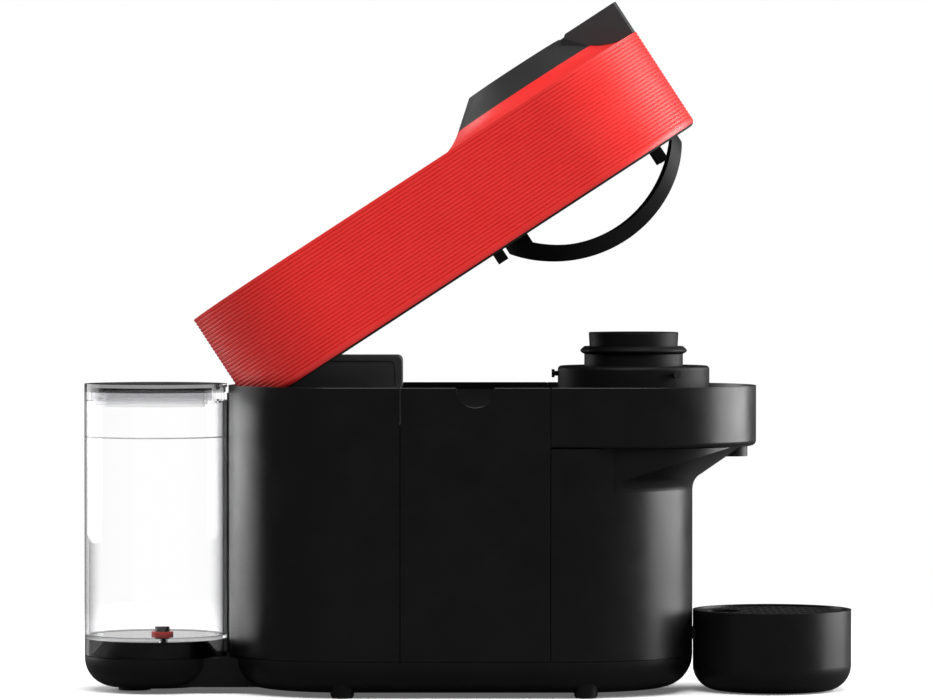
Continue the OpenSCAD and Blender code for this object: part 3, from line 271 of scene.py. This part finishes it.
FINISH = {
    black: "base_pan rear_housing front_housing side_panel capsule_bin drip_tray drip_grid",
    dull: "lock_ring lock_pegs ejector_loop capsule_holder",
    tower: "hinge_tower",
    matte: "dome_cover brew_button",
    charcoal: "front_lever",
    inner: "chassis brew_deck motor_shelf drum_housing coffee_duct head_frame clamp_housing lock_hooks "
           "cord_gland spout",
    gloss: "valve_poppet brew_clamp",
    red: "head_shell",
    clear: "tank_vessel",
    smoked: "tank_lid",
    rubber: "rubber_feet pump_mounts",
    seal: "dock_seal clamp_seal valve_seal",
    steel: "base_screws hinge_pin hinge_spring drum_bearing motor_screws clamp_bearing lever_pin "
           "lid_pin water_needle drum_shaft heater_legs",
    alu: "thermoblock",
    zinc: "drum_motor",
    white: "water_pump flow_meter dock_spigot",
    hose: "inlet_hose suction_hose pressure_hose hot_hose head_water_tube",
    board: "control_board button_board",
}
for material, names in FINISH.items():
    for name in names.split():
        obj = nodes[name]
        obj.data.materials.clear()
        obj.data.materials.append(material)


# ---- Shapes of the fine moulded detail ----

def solid(name, verts, faces, material, body):
    """A piece of one material that rides the given body."""
    mesh = bpy.data.meshes.new(name)
    mesh.from_pydata(verts, [], faces)
    mesh.materials.append(material)
    obj = bpy.data.objects.new(name, mesh)
    scene.collection.objects.link(obj)
    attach(obj, body)


def tube_faces(rings, sides):
    """Faces of a tube whose points lie ring by ring, closed at both ends."""
    last = (rings - 1) * sides
    faces = []
    for a in range(0, last, sides):
        b = a + sides
        faces += [(a + k, a + (k + 1) % sides, b + (k + 1) % sides, b + k) for k in range(sides)]
    return faces + [tuple(reversed(range(sides))), tuple(range(last, last + sides))]


def bead(name, points, radius, material, body):
    """A fine raised line: a round bead laid along the points."""
    sides = 8
    skew = Vector((0.31, 0.11, 0.94))  # a direction that no bead runs along
    points = [Vector(point) for point in points]
    last = len(points) - 1
    verts = []
    for i, here in enumerate(points):
        along = (points[min(i + 1, last)] - points[max(i - 1, 0)]).normalized()
        across = along.cross(skew).normalized()
        other = along.cross(across)
        for k in range(sides):
            turn = 2 * math.pi * k / sides
            verts.append(here + radius * (math.cos(turn) * across + math.sin(turn) * other))
    solid(name, verts, tube_faces(len(points), sides), material, body)


def arc(x, y, z, radius, first, last, steps=48, upright=False):
    """Points along part of a circle, lying flat or standing in the XZ plane."""
    turns = [math.radians(first + (last - first) * i / steps) for i in range(steps + 1)]
    if upright:
        return [(x + radius * math.cos(t), y, z + radius * math.sin(t)) for t in turns]
    return [(x + radius * math.cos(t), y + radius * math.sin(t), z) for t in turns]


def strip(name, low, high, ease, material, body):
    """An upright filler strip with eased corners."""
    (x0, y0, z0), (x1, y1, z1) = low, high
    ring = [(x0 + ease, y0), (x1 - ease, y0), (x1, y0 + ease), (x1, y1 - ease),
            (x1 - ease, y1), (x0 + ease, y1), (x0, y1 - ease), (x0, y0 + ease)]
    verts = [(x, y, z) for z in (z0, z1) for x, y in ring]
    solid(name, verts, tube_faces(2, len(ring)), material, body)


def corners(box):
    """The low and the high corner of a node's box."""
    return [Vector(corner) for corner in box]


tank = corners(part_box("tank_vessel"))
rear = corners(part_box("rear_housing"))
front = corners(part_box("front_housing"))
bay = corners(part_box("capsule_bin"))
far = corners(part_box("side_panel"))
hinge = corners(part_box("hinge_tower"))
half = front[1].y  # half of the body's width
top = front[1].z  # height of the body's rim
bay_mid = (bay[0].x + bay[1].x) / 2

# ---- Water level mark, in the wall round the near side of the tank ----

MARK_Z = 0.1409  # height of the mark above the ground
MARK_RADIUS = 0.00035
MARK_DEPTH = 0.0019  # of the bead's middle, behind the tank's outer face
tank_mid = (tank[0] + tank[1]) / 2
mark = arc(tank_mid.x, 0, MARK_Z, tank[1].y - MARK_DEPTH, first=180, last=360)
bead("tank_level_line", mark, MARK_RADIUS, mark_grey, "tank")

# ---- Dark strip between the tank and the body ----

BACK_HALF = 0.006  # half of its width
BACK_LOW = 0.0207  # height of its lower end
BACK_HIGH = 0.165  # and of its upper end
BACK_PLAY = 0.00015  # to the tank and to the body
strip("tank_back_strip", (tank[1].x + BACK_PLAY, -BACK_HALF, BACK_LOW),
      (rear[0].x - BACK_PLAY, BACK_HALF, BACK_HIGH), ease=0.0001, material=inner, body="machine")

# ---- Bright edge round the rim of the body ----

NOTCH = 0.0103  # radius of the container's thumb notch
EDGE_RADIUS = 0.0003  # radius of the bead along the edge
EDGE_IN = 0.0002  # its middle lies this far inside the body's faces
run = half - EDGE_IN
rim = top - EDGE_IN
ROUND_EDGES = (
    ("rim_line_rear", rear[1].x - EDGE_RADIUS, rear[0].x + half, 270),
    ("rim_line_front", front[0].x + EDGE_RADIUS, front[1].x - half, -90),
)
STRAIGHT_EDGES = (
    ("rim_line_bin_1", bay[0].x, bay_mid - NOTCH, -run, "container"),
    ("rim_line_bin_2", bay_mid + NOTCH, bay[1].x, -run, "container"),
    ("rim_line_far", far[0].x, far[1].x, run, "machine"),
)
for name, cut, middle, start in ROUND_EDGES:
    bend = arc(middle, 0, rim, run, first=start, last=90)
    bead(name, [(cut, -run, rim)] + bend + [(cut, run, rim)], EDGE_RADIUS, black, "machine")
for name, left, right, side, body in STRAIGHT_EDGES:
    ends = [(left + EDGE_RADIUS, side, rim), (right - EDGE_RADIUS, side, rim)]
    bead(name, ends, EDGE_RADIUS, black, body)

# ---- Dark fillers in the two seams of the far side ----

FILL_PLAY = 0.00002  # to the panel and to the housing
FILL_IN = 0.0002  # short of the panel's inner face
FILL_OUT = 0.0003  # short of its outer face
FILL_TOP = 0.0001  # short of the rim
for number, (left, right) in enumerate(((rear[1].x, far[0].x), (far[1].x, front[0].x))):
    strip(f"far_seam_{number + 1}", (left + FILL_PLAY, far[0].y + FILL_IN, far[0].z),
          (right - FILL_PLAY, far[1].y - FILL_OUT, top - FILL_TOP),
          ease=0.00005, material=inner, body="machine")


# ---- Thumb scoop of the container, with its lip ----

def dish(name, x, y, z, radius, hollow, thickness, material, body):
    """The lower half of a shallow dish, its edge at y: two sheets, joined round their outline."""
    rows = 8
    cols = 32
    wide = cols + 1
    verts = []
    for sheet in (0, thickness):
        for i in range(rows + 1):
            r = radius * i / rows
            depth = y + hollow * (1 - (i / rows) ** 2) + sheet
            for k in range(wide):
                turn = math.pi * (1 + k / cols)
                verts.append((x + r * math.cos(turn), depth, z + r * math.sin(turn)))
    count = (rows + 1) * wide
    faces = []
    for i in range(rows):
        for k in range(cols):
            a = i * wide + k
            quad = (a, a + 1, a + wide + 1, a + wide)
            faces += [quad, tuple(count + v for v in reversed(quad))]
    left = [i * wide for i in range(rows)]
    round_edge = [rows * wide + k for k in range(wide)]
    right = [i * wide + cols for i in reversed(range(rows))]
    outline = left + round_edge + right
    faces += [(one, count + one, count + two, two) for one, two in zip(outline, outline[1:])]
    solid(name, verts, faces, material, body)


NOTCH_DROP = 0.0006  # of the notch's middle, below the rim
SCOOP_IN = 0.0007  # of the scoop's edge, behind the container's face
LIP_IN = 0.0001  # of the lip's middle, behind that face
LIP_RADIUS = 0.0002
notch_z = top - NOTCH_DROP
dish("thumb_scoop", bay_mid, -half + SCOOP_IN, notch_z, NOTCH,
     hollow=0.0011, thickness=0.0005, material=black, body="container")
lip = arc(bay_mid, -half + LIP_IN, notch_z, NOTCH, first=180, last=360, steps=40, upright=True)
bead("thumb_lip", lip, LIP_RADIUS, black, "container")

# ---- Groove inside the upper front edge of the hinge tower ----

TOWER_FACE = -0.032  # the tower's near face
GROOVE_UP = 0.183  # height of its upper stretch
GROOVE_LEN = 0.04  # of that stretch, with the bend
GROOVE_IN = 0.0035  # of its upright stretch, behind the tower's front
GROOVE_BEND = 0.003  # radius of its bend
GROOVE_RADIUS = 0.0004
GROOVE_SUNK = 0.0002  # of its middle, behind the near face
GROOVE_END = 0.0003  # of its lower end, above the rim
face = TOWER_FACE + GROOVE_SUNK
reach = hinge[1].x - GROOVE_IN
bend = arc(reach - GROOVE_BEND, face, GROOVE_UP - GROOVE_BEND, GROOVE_BEND,
           first=90, last=0, steps=12, upright=True)
groove = [(reach - GROOVE_LEN, face, GROOVE_UP)] + bend + [(reach, face, top + GROOVE_END)]
bead("tower_groove", groove, GROOVE_RADIUS, inner, "machine")


# ---- Stage: white for the eye, dim for the object, with the object's own shadow ----

MIRROR_SHARE = 0.05  # of the white floor and world that shows in reflections
SKY_LIGHT = 0.25  # strength of the world as light on the object


def times(tree, source, factor):
    """The source times a number."""
    product = add(tree, "ShaderNodeMath", operation="MULTIPLY")
    tree.links.new(source, product.inputs[0])
    product.inputs[1].default_value = factor
    return product.outputs[0]


def larger(tree, one, two):
    """The larger of two sources."""
    most = add(tree, "ShaderNodeMath", operation="MAXIMUM")
    tree.links.new(one, most.inputs[0])
    tree.links.new(two, most.inputs[1])
    return most.outputs[0]


def joined(tree, kind, *sources):
    """A node of the given kind that takes the sources in its first sockets, in order."""
    node = add(tree, kind)
    for place, source in enumerate(sources):
        tree.links.new(source, node.inputs[place])
    return node.outputs[0]


def eye_share(tree):
    """1 for the camera and through clear plastic, and a small share in reflections."""
    path = add(tree, "ShaderNodeLightPath")
    mirrored = times(tree, path.outputs["Is Glossy Ray"], MIRROR_SHARE)
    direct = larger(tree, path.outputs["Is Camera Ray"], path.outputs["Is Transmission Ray"])
    return larger(tree, direct, mirrored)


def floor_finish():
    """A floor that shows shadows near the machine and fades to pure white further out."""
    fade_from = 0.35
    fade_to = 0.8
    material, tree, shader = new_material("floor_white")
    shader.inputs["Roughness"].default_value = 0.9
    shader.inputs["Specular IOR Level"].default_value = 0.0
    path = add(tree, "ShaderNodeLightPath")
    unseen = mixed(tree, path.outputs["Is Diffuse Ray"], grey(0.03), grey(0.5))
    tree.links.new(unseen, shader.inputs["Base Color"])
    pale = add(tree, "ShaderNodeBsdfDiffuse", Color=(0.9, 0.9, 0.9, 1))
    lift = add(tree, "ShaderNodeEmission", Color=(1, 1, 1, 1), Strength=0.12)
    glow = add(tree, "ShaderNodeEmission", Color=(1, 1, 1, 1), Strength=1.0)
    near = joined(tree, "ShaderNodeAddShader", pale.outputs[0], lift.outputs[0])
    away = add(tree, "ShaderNodeVectorMath", operation="LENGTH")
    tree.links.new(own_place(tree), away.inputs[0])
    fade = ranged(tree, away.outputs["Value"], 0, 1, fade_from, fade_to)
    seen = joined(tree, "ShaderNodeMixShader", fade, near, glow.outputs[0])
    both = joined(tree, "ShaderNodeMixShader", eye_share(tree), shader.outputs[0], seen)
    tree.links.new(both, tree.nodes["Material Output"].inputs["Surface"])
    return material


def white_world():
    """A world that is white to the eye and a weak light to the object."""
    world = bpy.data.worlds.new("world")
    world.use_nodes = True
    tree = world.node_tree
    ground = tree.nodes["Background"]
    ground.inputs["Color"].default_value = (1, 1, 1, 1)
    path = add(tree, "ShaderNodeLightPath")
    light = times(tree, path.outputs["Is Diffuse Ray"], SKY_LIGHT)
    tree.links.new(larger(tree, light, eye_share(tree)), ground.inputs["Strength"])
    return world


FLOOR_HALF = 6
FLOOR_Z = -0.0002  # just under the feet
FLOOR_CORNERS = ((-1, -1), (1, -1), (1, 1), (-1, 1))
floor_mesh = bpy.data.meshes.new("floor")
floor_verts = [(x * FLOOR_HALF, y * FLOOR_HALF, FLOOR_Z) for x, y in FLOOR_CORNERS]
floor_mesh.from_pydata(floor_verts, [], [(0, 1, 2, 3)])
floor = bpy.data.objects.new("floor", floor_mesh)
scene.collection.objects.link(floor)
floor_mesh.materials.append(floor_finish())
scene.world = white_world()


def softbox(name, place, aim, width, height, radiance):
    """An area lamp of the given radiance, which gives power from its size."""
    data = bpy.data.lights.new(name, "AREA")
    data.shape = "RECTANGLE"
    data.size = width
    data.size_y = height
    data.energy = radiance * math.pi * width * height
    obj = bpy.data.objects.new(name, data)
    obj.location = place
    obj.rotation_euler = (Vector(aim) - Vector(place)).to_track_quat("-Z", "Y").to_euler()
    obj.visible_camera = False
    scene.collection.objects.link(obj)


softbox("front", place=(0.0, -1.2, 2.2), aim=(0, 0, 0.2), width=2.2, height=1.3, radiance=7.5)
softbox("above", place=(0.25, 0.45, 2.3), aim=(0.05, 0, 0.3), width=0.9, height=0.7, radiance=3.0)
softbox("right", place=(1.56, 0.32, 0.5), aim=(0.05, 0, 0.2), width=1.4, height=1.3, radiance=9.5)
softbox("left", place=(-1.41, 0.75, 0.5), aim=(-0.05, 0, 0.15), width=1.2, height=1.3, radiance=4.2)
